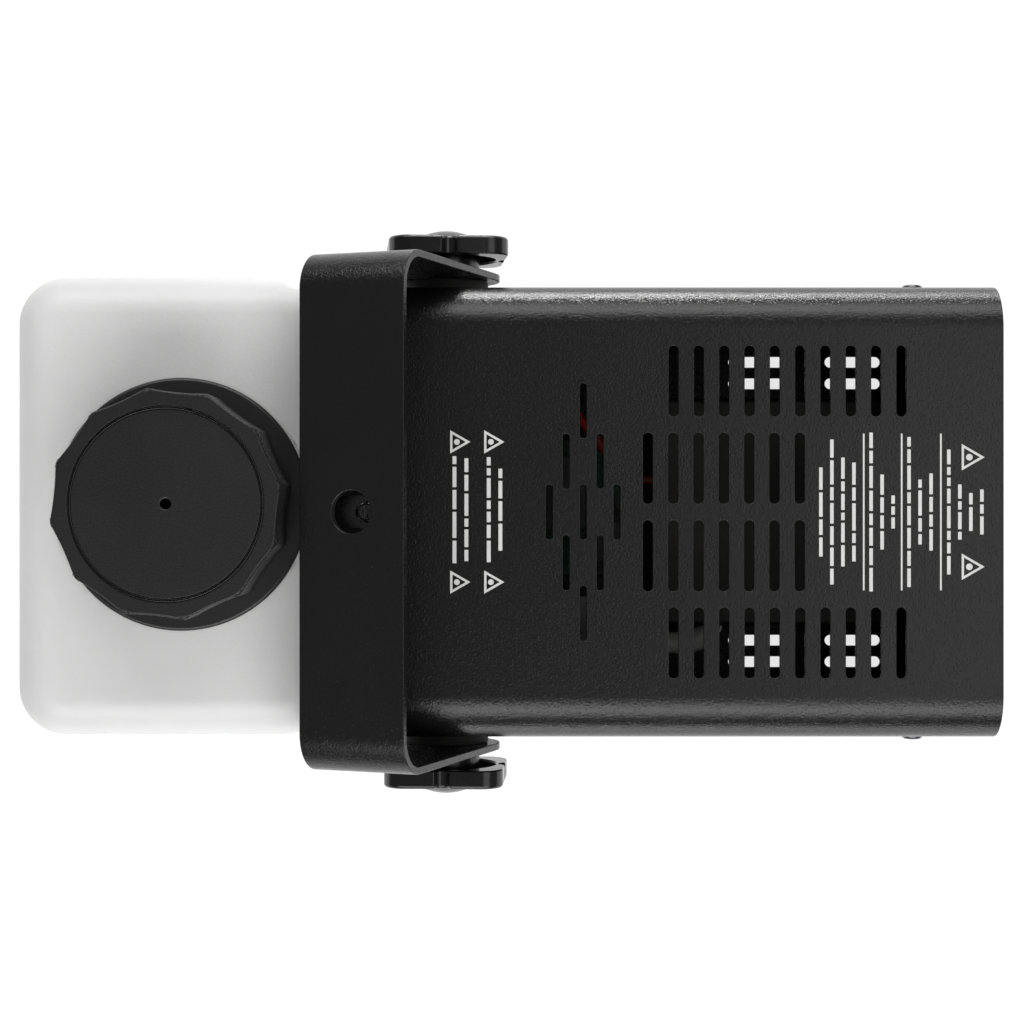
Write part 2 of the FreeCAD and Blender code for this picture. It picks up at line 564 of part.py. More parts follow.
blanket = body("insulation_blanket")
box(blanket, ("block_rear - 5", "block_front + 4"), ("-block_half - 6", "block_half + 6"),
    ("block_base - 6", "block_top + 6"))
dress(blanket, "Fillet", "4.0", lambda e: along(e, "x"))
box(blanket, ("block_rear", "block_front"), ("-block_half", "block_half"),
    ("block_base", "block_top"), cut=True)
rods(blanket, "YZ", "block_rear - 7", "block_rear + 1", [("element_side", "nozzle_level"),
     ("-element_side", "nozzle_level")], "4.6", cut=True)
rod(blanket, "YZ", "block_front - 1", "block_front + 6", "0", "nozzle_level", "5.2", cut=True)
rod(blanket, "XZ", "-block_half - 8", "-block_half + 1", "inlet_place", "pump_level", "6.2", cut=True)
rods(blanket, "XY", "block_base - 8", "block_base + 1", corners, "3.8", cut=True)
rods(blanket, "XY", "block_top - 1", "block_top + 8", [("82", "0"), ("104", "0")], "8.4", cut=True)

shield = body("heat_shield")
box(shield, ("shield_rear", "shield_front"), ("-shield_half", "shield_half"),
    ("floor + pan_sheet", "shield_top"))
dress(shield, "Fillet", "2.0", lambda e: along(e, "x") and e.CenterOfMass.z > 50)
hollow(shield, "0.8", lambda f: flat(f, "x", 1) or flat(f, "x", -1) or flat(f, "z", -1))
boxes(shield, "XZ", "-shield_half - 2", "-shield_half + 3",
      [("inlet_place - 13", "inlet_place + 13", "34", "54")], cut=True)

tube = body("nozzle_tube")
rod(tube, "YZ", "block_front - 5.5", "case_front + 2", "0", "nozzle_level", "4.5")
rod(tube, "YZ", "block_front - 7", "case_front + 3", "0", "nozzle_level", "2.4", cut=True)

ring = body("nozzle_ring")
rod(ring, "YZ", "case_front - 3", "case_front - 0.5", "0", "nozzle_level", "10.0")
rod(ring, "YZ", "case_front - 1", "case_front + 7.5", "0", "nozzle_level", "7.0")
dress(ring, "Chamfer", "1.2", lambda e: level_of(e, "x", D["case_front"] + 7.5))
rod(ring, "YZ", "case_front - 4", "case_front + 2.2", "0", "nozzle_level", "4.6", cut=True)
rod(ring, "YZ", "case_front + 2", "case_front + 9", "0", "nozzle_level", "1.5", cut=True)

for name, at in (("control_thermostat", "82"), ("thermal_cutout", "104")):
    disc = body(name)
    rod(disc, "XY", "block_top", "block_top + 5.5", at, "0", "8.0")
    rod(disc, "XY", "block_top + 5", "block_top + 8", at, "0", "6.0")

fitting = body("feed_fitting")
place(fitting, ("inlet_place", "-block_half", "pump_level"), (1, 0, 0), 90.0)
rod(fitting, "XY", "-4.5", "0.1", "0", "0", "3.5")
rod(fitting, "XY", "0", "5.5", "0", "0", "5.4")
rod(fitting, "XY", "5", "14", "0", "0", "barb_radius")
rod(fitting, "XY", "-5", "15", "0", "0", "1.4", cut=True)

# ---------------------------------------------------------------- pump
frame = body("pump_frame")
box(frame, ("pump_place - 18", "pump_place + 18"), ("pump_side - 16", "pump_side + 16"),
    ("pump_level - 17", "pump_level + 17"))
box(frame, ("pump_place - 16", "pump_place + 16"), ("pump_side - 17", "pump_side + 17"),
    ("pump_level - 15", "pump_level + 15"), cut=True)
rod(frame, "YZ", "pump_place - 20", "pump_place + 20", "pump_side", "pump_level", "7.3", cut=True)

coil = body("pump_coil")
rod(coil, "YZ", "pump_place - 15.8", "pump_place + 15.8", "pump_side", "pump_level", "14.0")
through(coil, "YZ", "pump_place - 13.5", "pump_place + 13.5",
        lambda sk: [circle(sk, "pump_side", "pump_level", "15"),
                    circle(sk, "pump_side", "pump_level", "12.6")],
        cut=True)
rod(coil, "YZ", "pump_place - 17", "pump_place + 17", "pump_side", "pump_level", "7.3", cut=True)

chamber = body("pump_chamber")
rod(chamber, "YZ", "pump_place - 30", "pump_place + 32", "pump_side", "pump_level", "7.0")
rod(chamber, "YZ", "pump_place - 38", "pump_place - 29", "pump_side", "pump_level", "barb_radius")
rod(chamber, "YZ", "pump_place + 31", "pump_place + 40", "pump_side", "pump_level", "barb_radius")
rod(chamber, "YZ", "pump_place - 20", "pump_place + 20", "pump_side", "pump_level", "plunger_radius + 0.06",
    cut=True)
rod(chamber, "YZ", "pump_place - 39", "pump_place + 41", "pump_side", "pump_level", "1.3", cut=True)

plunger = body("pump_plunger")
rod(plunger, "YZ", "pump_place - 12", "pump_place + 8", "pump_side", "pump_level", "plunger_radius")
rod(plunger, "YZ", "pump_place - 13", "pump_place + 9", "pump_side", "pump_level", "1.2", cut=True)

support = body("pump_bracket")
box(support, ("pump_place - 16", "pump_place + 16"), ("pump_side - 15", "pump_side + 15"),
    ("floor + pan_sheet", "pump_level - 20"))
box(support, ("pump_place - 17", "pump_place + 17"), ("pump_side - 13.5", "pump_side + 13.5"),
    ("floor", "pump_level - 21.5"), cut=True)

mounts = body("pump_rubber_mounts")
rods(mounts, "XY", "pump_level - 20", "pump_level - 17",
     [("pump_place + 10", "pump_side"), ("pump_place - 10", "pump_side")], "4.5")

# ---------------------------------------------------------------- electrics
inlet = body("inlet_body")
boxes(inlet, "YZ", "pedestal_rear - 2", "pedestal_rear",
      [("inlet_side - 15.5", "inlet_side + 15.5", "socket_level - 15.6", "socket_level + 15.6")])
dress(inlet, "Fillet", "2.0", lambda e: along(e, "x"))
boxes(inlet, "YZ", "pedestal_rear - 0.5", "pedestal_rear + 22",
      [("inlet_side - 13.5", "inlet_side + 13.5", "socket_level - 14", "socket_level + 14")])
boxes(inlet, "YZ", "pedestal_rear - 3", "pedestal_rear + 16",
      [("inlet_side - 12", "inlet_side + 12", "socket_level - 12.4", "socket_level + 3.8")], cut=True)
boxes(inlet, "YZ", "pedestal_rear - 3", "pedestal_rear + 19",
      [("inlet_side - 11.1", "inlet_side + 11.1", "socket_level + 5.2", "socket_level + 12.4")], cut=True)

pins = body("inlet_pins")
boxes(pins, "YZ", "pedestal_rear + 2", "pedestal_rear + 16",
      [("inlet_side - 8", "inlet_side - 6", "socket_level - 6", "socket_level - 2"),
       ("inlet_side + 6", "inlet_side + 8", "socket_level - 6", "socket_level - 2"),
       ("inlet_side - 1", "inlet_side + 1", "socket_level - 9", "socket_level - 5")])

drawer = body("fuse_drawer")
boxes(drawer, "YZ", "pedestal_rear - 2.6", "pedestal_rear + 18",
      [("inlet_side - 11", "inlet_side + 11", "socket_level + 5.3", "socket_level + 12.3")])
box(drawer, ("pedestal_rear + 2", "pedestal_rear + 16"), ("inlet_side - 10.1", "inlet_side + 10.1"),
    ("socket_level + 6.4", "socket_level + 13"), cut=True)
box(drawer, ("pedestal_rear - 3", "pedestal_rear - 2"), ("inlet_side - 4", "inlet_side + 4"),
    ("socket_level + 6.2", "socket_level + 7.6"), cut=True)

fuse = body("fuse")
rod(fuse, "XZ", "inlet_side - 10", "inlet_side + 10", "pedestal_rear + 9", "socket_level + 9.05", "2.6")

switch = body("switch_body")
for low, high, half, reach, cut in (("- 2", "", "7.5", "10.5", False), ("- 1", " + 16", "6.5", "9.5", False),
                                    ("- 3", " + 8", "5.4", "8.9", True)):
    boxes(switch, "YZ", "pedestal_rear " + low, "pedestal_rear" + high,
          [("-" + half, half, "socket_level - " + reach, "socket_level + " + reach)], cut)
rod(switch, "XZ", "-6.1", "6.1", "pedestal_rear + 2", "socket_level", "1.25", cut=True)

rocker = body("switch_rocker")
place(rocker, ("pedestal_rear + 2", "0", "socket_level"), (0, 1, 0), -12.0)
through(rocker, "XZ", "-5.2", "5.2",
        lambda sk: outline(sk, [("2.5", "0"), ("0", "6.9"), ("-5.2", "7.4"), ("-3.9", "0"), ("-5.2", "-7.4"),
                                ("0", "-6.9")]))
rod(rocker, "XZ", "-6.0", "6.0", "0", "0", "1.2")

remote = body("remote_socket")
place(remote, ("pedestal_rear", "remote_side", "socket_level"), (0, 1, 0), 90.0)
rod(remote, "XY", "-2", "0", "0", "0", "12.0")
rod(remote, "XY", "-1", "18", "0", "0", "9.5")
rod(remote, "XY", "-3", "12", "0", "0", "7.4", cut=True)

contacts = body("remote_contacts")
place(contacts, ("pedestal_rear", "remote_side", "socket_level"), (0, 1, 0), 90.0)
rods(contacts, "XY", "3", "12", [("3.6", "0"), ("-2", "3.3"), ("-2", "-3.3")], "0.8")

terminal = body("terminal_block")
box(terminal, ("-50", "-14"), ("34", "50"), ("floor + pan_sheet", "24"))
rods(terminal, "XY", "20", "25", [("-44", "42"), ("-32", "42"), ("-20", "42")], "2.6", cut=True)

board_posts = body("board_standoffs")
posts = [(x, y) for x in ("-40", "40") for y in ("-18", "22")]
rods(board_posts, "XY", "floor + pan_sheet", "17", posts, "3.0")
board = body("control_board")
box(board, ("-45", "45"), ("-23", "27"), ("17", "18.6"))
parts_on_board = body("board_components")
box(parts_on_board, ("-8", "24"), ("-6", "20"), ("18.6", "42"))
box(parts_on_board, ("28", "42"), ("-18", "-4"), ("18.6", "34"))
rods(parts_on_board, "XY", "18.6", "33", [("-22", "14"), ("-22", "0")], "5.0")
box(parts_on_board, ("-45", "-37"), ("-23", "-8"), ("18.6", "32"))

earth = body("earth_stud")
rod(earth, "XY", "floor + pan_sheet", "24", "-80", "12", "2.0")
rod(earth, "XY", "floor + pan_sheet", "13", "-80", "12", "4.2")

# ---------------------------------------------------------------- hoses and leads, held at both ends
PUMP_Y = D["pump_side"]
barb_end = D["pump_place"] - 30.2
cable("suction_hose", [(D["tank_front"] + 2.4, PUMP_Y, D["outlet_level"]), (-39.0, PUMP_Y, D["outlet_level"]),
                       (-32.0, PUMP_Y, D["pump_level"]), (barb_end, PUMP_Y, D["pump_level"])],
      8.0, D["hose_radius"], D["hose_bore"])
cable("feed_hose", [(D["pump_place"] + 32.2, PUMP_Y, D["pump_level"]),
                    (D["inlet_place"], PUMP_Y, D["pump_level"]),
                    (D["inlet_place"], -D["block_half"] - 5.7, D["pump_level"])],
      10.5, D["hose_radius"], D["hose_bore"])
pickup_x = D["tank_front"] - 14
cable("pickup_tube", [(D["tank_front"] - 7.1, PUMP_Y, D["outlet_level"]),
                      (pickup_x, PUMP_Y, D["outlet_level"]),
                      (pickup_x, PUMP_Y, 50.5)], 5.0, 3.0, 1.6)
cable("mains_lead", [(D["pedestal_rear"] + 22.1, 42.0, 18.0), (-50.1, 42.0, 18.0)], 1.0, 3.2)
cable("remote_lead", [(D["pedestal_rear"] + 18.1, D["remote_side"], 26.0), (-84.0, D["remote_side"], 26.0),
                      (-66.0, -15.0, 26.0), (-45.1, -15.0, 26.0)], 16.0, 2.2)
cable("heater_lead", [(-13.9, 42.0, 16.0), (16.0, 42.0, 16.0), (16.0, 42.0, 37.0), (40.0, 12.0, 37.0),
                      (51.9, 12.0, 37.0)], 6.0, 1.8)

strainer = body("pickup_filter")
rod(strainer, "XY", "tank_base + tank_wall + 0.4", "50.3", "tank_front - 14", "pump_side", "8.0")

# ---------------------------------------------------------------- check and write
doc.recompute()
for thing in doc.Objects:
    if "Invalid" in thing.State or "Error" in thing.State:
        raise RuntimeError("object %s is %s" % (thing.Name, thing.State))
os.makedirs("parts", exist_ok=True)
for made in nodes:
    shape = made.Shape
    if shape.isNull() or not shape.isValid():
        raise RuntimeError("node %s has a bad shape" % made.Label)
    shape.exportStep("parts/%s.step" % made.Label)
    print("%-22s solids %d volume %.0f" % (made.Label, len(shape.Solids), shape.Volume))
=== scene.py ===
"""Looks of a compact hanging fog machine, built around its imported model."""
import json
import math
import random

import bpy
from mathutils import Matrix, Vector

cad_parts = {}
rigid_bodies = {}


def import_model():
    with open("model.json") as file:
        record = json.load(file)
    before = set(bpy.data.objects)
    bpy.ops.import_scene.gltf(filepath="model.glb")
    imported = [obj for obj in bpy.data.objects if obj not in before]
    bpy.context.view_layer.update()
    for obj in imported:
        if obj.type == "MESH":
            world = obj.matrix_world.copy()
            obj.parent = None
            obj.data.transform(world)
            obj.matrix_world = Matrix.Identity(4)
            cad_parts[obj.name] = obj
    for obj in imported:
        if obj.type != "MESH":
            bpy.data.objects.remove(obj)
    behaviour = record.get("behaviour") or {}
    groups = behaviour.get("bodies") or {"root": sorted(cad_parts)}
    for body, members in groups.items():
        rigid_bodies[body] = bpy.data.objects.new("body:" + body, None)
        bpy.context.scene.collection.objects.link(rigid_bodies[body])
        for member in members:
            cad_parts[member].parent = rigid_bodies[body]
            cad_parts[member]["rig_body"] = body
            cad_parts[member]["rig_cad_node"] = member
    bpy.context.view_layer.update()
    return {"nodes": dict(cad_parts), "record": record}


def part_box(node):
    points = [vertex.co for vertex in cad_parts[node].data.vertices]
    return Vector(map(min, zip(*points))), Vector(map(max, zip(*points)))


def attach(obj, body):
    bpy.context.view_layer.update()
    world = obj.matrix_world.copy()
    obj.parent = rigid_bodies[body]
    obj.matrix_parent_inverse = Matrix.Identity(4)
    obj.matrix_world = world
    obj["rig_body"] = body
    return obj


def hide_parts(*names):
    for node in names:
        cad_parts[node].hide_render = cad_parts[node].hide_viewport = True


bl_info = {
    "name": "Hanging fog machine",
    "version": (1, 0, 0),
    "blender": (4, 5, 0),
    "location": "View3D > Sidebar > Fog Machine",
    "description": "Builds the visible pieces and finishes of a compact hanging fog machine",
    "category": "Object",
}

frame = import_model()
MM = 0.001
COVER_LOW, COVER_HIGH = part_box("top_cover")
TANK_LOW, TANK_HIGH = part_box("tank")
TANK_WALL_TOP = COVER_HIGH.z
FLOOR_SIDE = 4.0
FLOOR_TONE = 0.35
SOFT_BOX = (1.1, 0.45)
LOW_STRIP = (0.42, 0.02)
END_BOX = (0.8, 0.6)
WORD_GAP = 0.9 * MM
LINE_PITCH = 3.6 * MM
TRIANGLE_LINE = 0.75 * MM
TANK_CORNER = 16.0 * MM


# ---------------------------------------------------------------- settings a user would change
class FogCaseSettings(bpy.types.PropertyGroup):
    """Sizes and colours of the folded steel case and strap."""
    powder: bpy.props.FloatVectorProperty(
        name="Powder coat", description="Colour of the coated steel", subtype="COLOR", size=3,
        min=0.0, max=1.0, default=(0.0080, 0.0078, 0.0078))
    powder_roughness: bpy.props.FloatProperty(
        name="Powder roughness", description="How matt the coating is", min=0.0, max=1.0, default=0.22)
    grain: bpy.props.FloatProperty(
        name="Powder grain", description="Size of one grain of the coating", subtype="DISTANCE",
        unit="LENGTH", default=0.0006)
    sheet_edge: bpy.props.FloatProperty(
        name="Sheet edge", description="Radius where the coating runs over a cut edge", subtype="DISTANCE",
        unit="LENGTH", default=0.00022)
    strap_edge: bpy.props.FloatProperty(
        name="Strap edge", description="Radius along the edges of the hanging strap", subtype="DISTANCE",
        unit="LENGTH", default=0.00035)


class FogTankSettings(bpy.types.PropertyGroup):
    """Sizes and colours of the fluid tank and its cap."""
    plastic: bpy.props.FloatVectorProperty(
        name="Tank plastic", description="Colour of the natural polyethylene", subtype="COLOR", size=3,
        min=0.0, max=1.0, default=(0.76, 0.765, 0.76))
    seam_height: bpy.props.FloatProperty(
        name="Seam height", description="Height of the mould's parting line", subtype="DISTANCE",
        unit="LENGTH", default=0.0007)
    seam_proud: bpy.props.FloatProperty(
        name="Seam proud", description="How far the parting line stands out", subtype="DISTANCE",
        unit="LENGTH", default=0.0003)
    cap: bpy.props.FloatVectorProperty(
        name="Cap plastic", description="Colour of the screw cap", subtype="COLOR", size=3,
        min=0.0, max=1.0, default=(0.0108, 0.0108, 0.0108))
    cap_edge: bpy.props.FloatProperty(
        name="Cap edge", description="Radius along the ridges of the cap", subtype="DISTANCE", unit="LENGTH",
        default=0.0007)


class FogPrintSettings(bpy.types.PropertyGroup):
    """The screen print on the cover: plain bars, rules and empty triangles."""
    ink: bpy.props.FloatVectorProperty(
        name="Ink", description="Colour of the screen print", subtype="COLOR", size=3, min=0.0, max=1.0,
        default=(0.62, 0.62, 0.61))
    thickness: bpy.props.FloatProperty(
        name="Ink thickness", description="Thickness of the ink film", subtype="DISTANCE", unit="LENGTH",
        default=0.00005)
    bar: bpy.props.FloatProperty(
        name="Bar height", description="Height of the small bars", subtype="DISTANCE", unit="LENGTH",
        default=0.00115)
    rule: bpy.props.FloatProperty(
        name="Rule width", description="Width of the ruled lines", subtype="DISTANCE", unit="LENGTH",
        default=0.00055)
    seed: bpy.props.IntProperty(name="Seed", description="Order of the bars' lengths", default=7)


class FogStageSettings(bpy.types.PropertyGroup):
    """Camera, floor and lights."""
    camera_height: bpy.props.FloatProperty(
        name="Camera height", description="Height of the camera over the cover", subtype="DISTANCE",
        unit="LENGTH", default=0.637)
    camera_place: bpy.props.FloatProperty(
        name="Camera place", description="Place of the camera along the object", subtype="DISTANCE",
        unit="LENGTH", default=-0.0022)
    lens: bpy.props.FloatProperty(
        name="Lens", description="Focal length in mm for a 36 mm frame", default=68.55)
    low_light: bpy.props.FloatProperty(
        name="Low strips", description="Power in W of the low strip of light beside the object",
        default=0.088)
    high_light: bpy.props.FloatProperty(
        name="Soft boxes", description="Power in W of each soft box over the object's sides", default=7.0)
    end_light: bpy.props.FloatProperty(
        name="End light", description="Power in W of the soft box over the nozzle end", default=1.8)
    sky: bpy.props.FloatProperty(
        name="Sky", description="Brightness of the soft light all round", default=0.175)
    floor_glow: bpy.props.FloatProperty(
        name="Floor glow", description="Light that the pale floor gives off", default=0.78)


# ---------------------------------------------------------------- modelling helpers
def only(obj):
    """Leave object mode clean, with this object alone selected and active."""
    if bpy.context.object is not None and bpy.context.object.mode != "OBJECT":
        bpy.ops.object.mode_set(mode="OBJECT")
    bpy.ops.object.select_all(action="DESELECT")
    obj.select_set(True)
    bpy.context.view_layer.objects.active = obj


def nothing():
    """Deselect everything before a primitive is added."""
    if bpy.context.object is not None and bpy.context.object.mode != "OBJECT":
        bpy.ops.object.mode_set(mode="OBJECT")
    bpy.ops.object.select_all(action="DESELECT")


def modify(obj, kind, **values):
    """Add one modifier, set it and apply it."""
    only(obj)
    bpy.ops.object.modifier_add(type=kind)
    modifier = obj.modifiers[-1]
    for name, value in values.items():
        setattr(modifier, name, value)
    bpy.ops.object.modifier_apply(modifier=modifier.name)


def smooth(obj, angle=35.0):
    """Smooth shading with sharp edges kept past the angle."""
    only(obj)
    bpy.ops.object.shade_smooth_by_angle(angle=math.radians(angle))
    modify(obj, "WEIGHTED_NORMAL", weight=60, keep_sharp=True)


def settle(obj, name, body, slot, material, *nodes):
    """Name a finished piece, put its place into its mesh and hand it to its body."""
    only(obj)
    bpy.ops.object.transform_apply(location=True, rotation=True, scale=True)
    obj.name = name
    obj.data.name = name
    obj.data.materials.clear()
    obj.data.materials.append(material)
    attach(obj, body)
    if nodes:
        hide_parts(*nodes)
    return obj


def fair_copy(node, edge, steps=2, angle=40.0):
    """A welded copy of a node with its cut edges rounded over."""
    only(frame["nodes"][node])
    bpy.ops.object.duplicate()
    copy = bpy.context.object
    copy.parent = None
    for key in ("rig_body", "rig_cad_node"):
        del copy[key]
    bpy.ops.object.mode_set(mode="EDIT")
    bpy.ops.mesh.select_all(action="SELECT")
    bpy.ops.mesh.remove_doubles(threshold=0.000002)
    bpy.ops.mesh.dissolve_limited(angle_limit=math.radians(0.3))
    bpy.ops.object.mode_set(mode="OBJECT")
    modify(copy, "BEVEL", width=edge, segments=steps, limit_method="ANGLE", angle_limit=math.radians(angle),
           use_clamp_overlap=False, miter_outer="MITER_ARC")
    smooth(copy)
    return copy


def faces_where(obj, test):
    """Select in edit mode the faces that a test on the face accepts."""
    bpy.ops.object.mode_set(mode="EDIT")
    bpy.ops.mesh.select_all(action="DESELECT")
    bpy.ops.mesh.select_mode(type="FACE")
    bpy.ops.object.mode_set(mode="OBJECT")
    for face in obj.data.polygons:
        face.select = test(face)
    bpy.ops.object.mode_set(mode="EDIT")


def edges_where(obj, test):
    """Select in edit mode the edges that a test on the two end points accepts."""
    bpy.ops.object.mode_set(mode="EDIT")
    bpy.ops.mesh.select_all(action="DESELECT")
    bpy.ops.mesh.select_mode(type="EDGE")
    bpy.ops.object.mode_set(mode="OBJECT")
    points = obj.data.vertices
    for edge in obj.data.edges:
        edge.select = test(points[edge.vertices[0]].co, points[edge.vertices[1]].co)
    bpy.ops.object.mode_set(mode="EDIT")


# ---------------------------------------------------------------- shader groups shared by the finishes
def new_group(name, inputs, outputs):
    """A shader group with its sockets, and the two nodes that they come out of."""
    group = bpy.data.node_groups.new(name, "ShaderNodeTree")
    for label, kind, value in inputs:
        socket = group.interface.new_socket(name=label, in_out="INPUT", socket_type=kind)
        socket.default_value = value
    for label, kind in outputs:
        group.interface.new_socket(name=label, in_out="OUTPUT", socket_type=kind)
    return group, group.nodes.new("NodeGroupInput"), group.nodes.new("NodeGroupOutput")


def grain_group():
    """Fine grain in two sizes: a height for bumps and a tone round one."""
    if "Fine grain" in bpy.data.node_groups:
        return bpy.data.node_groups["Fine grain"]
    group, inward, outward = new_group(
        "Fine grain",
        [("Scale", "NodeSocketFloat", 1000.0), ("Stretch", "NodeSocketVector", (1.0, 1.0, 1.0))],
        [("Height", "NodeSocketFloat"), ("Tone", "NodeSocketFloat")])
    nodes, links = group.nodes, group.links
    place = nodes.new("ShaderNodeTexCoord")
    stretch = nodes.new("ShaderNodeVectorMath")
    stretch.operation = "MULTIPLY"
    fine = nodes.new("ShaderNodeTexNoise")
    fine.inputs["Detail"].default_value = 1.2
    fine.inputs["Roughness"].default_value = 0.62
    coarse = nodes.new("ShaderNodeTexNoise")
    coarse.inputs["Detail"].default_value = 1.0
    quarter = nodes.new("ShaderNodeMath")
    quarter.operation = "MULTIPLY"
    quarter.inputs[1].default_value = 0.3
    blend = nodes.new("ShaderNodeMath")
    blend.operation = "MULTIPLY_ADD"
    blend.inputs[1].default_value = 0.4
    spread = nodes.new("ShaderNodeMapRange")
    spread.inputs["From Min"].default_value = 0.3
    spread.inputs["From Max"].default_value = 0.7
    links.new(place.outputs["Object"], stretch.inputs[0])
    links.new(inward.outputs["Stretch"], stretch.inputs[1])
    links.new(stretch.outputs[0], fine.inputs["Vector"])
    links.new(stretch.outputs[0], coarse.inputs["Vector"])
    links.new(inward.outputs["Scale"], fine.inputs["Scale"])
    links.new(inward.outputs["Scale"], quarter.inputs[0])
    links.new(quarter.outputs[0], coarse.inputs["Scale"])
    links.new(coarse.outputs["Fac"], blend.inputs[0])
    links.new(fine.outputs["Fac"], blend.inputs[2])
    links.new(blend.outputs[0], outward.inputs["Height"])
    links.new(fine.outputs["Fac"], spread.inputs["Value"])
    links.new(spread.outputs["Result"], outward.inputs["Tone"])
    return group


def handling_group():
    """Broad cloudy patches left by hands and dust, from 0 to 1."""
    if "Handling marks" in bpy.data.node_groups:
        return bpy.data.node_groups["Handling marks"]
    group, inward, outward = new_group(
        "Handling marks", [("Scale", "NodeSocketFloat", 20.0)], [("Mask", "NodeSocketFloat")])
    nodes, links = group.nodes, group.links
    place = nodes.new("ShaderNodeTexCoord")
    cloud = nodes.new("ShaderNodeTexNoise")
    cloud.inputs["Detail"].default_value = 6.0
    cloud.inputs["Roughness"].default_value = 0.6
    spread = nodes.new("ShaderNodeMapRange")
    spread.interpolation_type = "SMOOTHSTEP"
    spread.inputs["From Min"].default_value = 0.35
    spread.inputs["From Max"].default_value = 0.75
    links.new(place.outputs["Object"], cloud.inputs["Vector"])
    links.new(inward.outputs["Scale"], cloud.inputs["Scale"])
    links.new(cloud.outputs["Fac"], spread.inputs["Value"])
    links.new(spread.outputs["Result"], outward.inputs["Mask"])
    return group


def group_node(material, group, **values):
    node = material.node_tree.nodes.new("ShaderNodeGroup")
    node.node_tree = group
    for name, value in values.items():
        node.inputs[name].default_value = value
    return node


def between(material, mask, low, high):
    """A value that runs from low to high as the mask runs from 0 to 1."""
    node = material.node_tree.nodes.new("ShaderNodeMapRange")
    node.inputs["To Min"].default_value = low
    node.inputs["To Max"].default_value = high
    material.node_tree.links.new(mask, node.inputs["Value"])
    return node.outputs["Result"]


def mixed(material, mask, low, high):
    """A colour that runs from low to high as the mask runs from 0 to 1."""
    node = material.node_tree.nodes.new("ShaderNodeMix")
    node.data_type = "RGBA"
    node.inputs["A"].default_value = (*low, 1.0)
    node.inputs["B"].default_value = (*high, 1.0)
    material.node_tree.links.new(mask, node.inputs["Factor"])
    return node.outputs["Result"]


def shade(colour, factor):
    return tuple(min(1.0, part * factor) for part in colour)


def surface(name, colour, roughness, grain, bump, metallic=0.0, specular=0.5, spread=0.08, tint=0.15,
            marks=18.0, stretch=(1.0, 1.0, 1.0), coat=0.0, relief_share=0.5):
    """A finish with its grain in the roughness and bump, and cloudy marks in its colour."""
    if name in bpy.data.materials:
        return bpy.data.materials[name]
    material = bpy.data.materials.new(name)
    material.use_nodes = True
    links = material.node_tree.links
    shader = material.node_tree.nodes["Principled BSDF"]
    shader.inputs["Metallic"].default_value = metallic
    shader.inputs["Specular IOR Level"].default_value = specular
    shader.inputs["Coat Weight"].default_value = coat
    shader.inputs["Coat Roughness"].default_value = 0.08
    fine = group_node(material, grain_group(), Scale=1.0 / grain, Stretch=stretch)
    cloud = group_node(material, handling_group(), Scale=marks)
    links.new(mixed(material, cloud.outputs["Mask"], shade(colour, 1.0 - tint), shade(colour, 1.0 + tint)),
              shader.inputs["Base Color"])
    smoothest, roughest = max(0.02, roughness - spread), min(1.0, roughness + spread)
    links.new(between(material, fine.outputs["Tone"], smoothest, roughest), shader.inputs["Roughness"])
    relief = material.node_tree.nodes.new("ShaderNodeBump")
    relief.inputs["Strength"].default_value = bump
    relief.inputs["Distance"].default_value = grain * relief_share
    links.new(fine.outputs["Height"], relief.inputs["Height"])
    links.new(relief.outputs["Normal"], shader.inputs["Normal"])
    return material


# ---------------------------------------------------------------- finishes
def powder_coat():
    case = bpy.context.scene.fog_case
    return surface("powder coat", tuple(case.powder), case.powder_roughness, case.grain, 1.0, specular=0.35,
                   spread=0.06, tint=0.10, marks=14.0, relief_share=0.24)


def black_zinc():
    return surface("black zinc", (0.10, 0.10, 0.105), 0.20, 0.0004, 0.12, metallic=1.0, tint=0.2)


def polyethylene():
    name = "natural polyethylene"
    if name in bpy.data.materials:
        return bpy.data.materials[name]
    colour = tuple(bpy.context.scene.fog_tank.plastic)
    material = surface(name, colour, 0.42, 0.0011, 0.08, tint=0.025, marks=16.0, specular=0.42)
    shader = material.node_tree.nodes["Principled BSDF"]
    shader.inputs["Subsurface Weight"].default_value = 0.45
    shader.inputs["Subsurface Radius"].default_value = (0.006, 0.006, 0.0062)
    shader.inputs["Subsurface Scale"].default_value = 1.0
    return material


def cap_plastic():
    return surface("cap polypropylene", tuple(bpy.context.scene.fog_tank.cap), 0.42, 0.0005, 0.20, tint=0.12,
                   marks=30.0, specular=0.4)


def collar_plastic():
    return surface("collar plastic", (0.010, 0.010, 0.010), 0.42, 0.0005, 0.12, tint=0.1)


def knob_plastic():
    return surface("knob thermoset", (0.006, 0.006, 0.006), 0.20, 0.0008, 0.05, tint=0.1, spread=0.04)


def soft_rubber():
    return surface("moulded rubber", (0.022, 0.021, 0.020), 0.72, 0.0004, 0.35, tint=0.2)


def dark_foam():
    return surface("closed foam", (0.035, 0.035, 0.036), 0.9, 0.0007, 0.7, tint=0.2)


def pale_silicone():
    return surface("pale silicone", (0.62, 0.62, 0.58), 0.5, 0.0006, 0.12, tint=0.05)


def plated_steel():
    return surface("plated steel", (0.46, 0.46, 0.45), 0.34, 0.0009, 0.12, metallic=1.0, tint=0.18,
                   stretch=(0.15, 1.0, 1.0))


# Near-black steel for the heat shield: painted shade. Its colour is darkened so that the inside of the closed
# case reads as dark shade through the cover's inner slots.
def shade_dark_steel():
    return surface("heat-stained steel", (0.045, 0.042, 0.040), 0.5, 0.0009, 0.15, metallic=0.7, tint=0.25,
                   stretch=(0.15, 1.0, 1.0))


def turned_brass():
    return surface("turned brass", (0.66, 0.47, 0.20), 0.27, 0.0005, 0.14, metallic=1.0, tint=0.15,
                   stretch=(1.0, 0.2, 0.2))


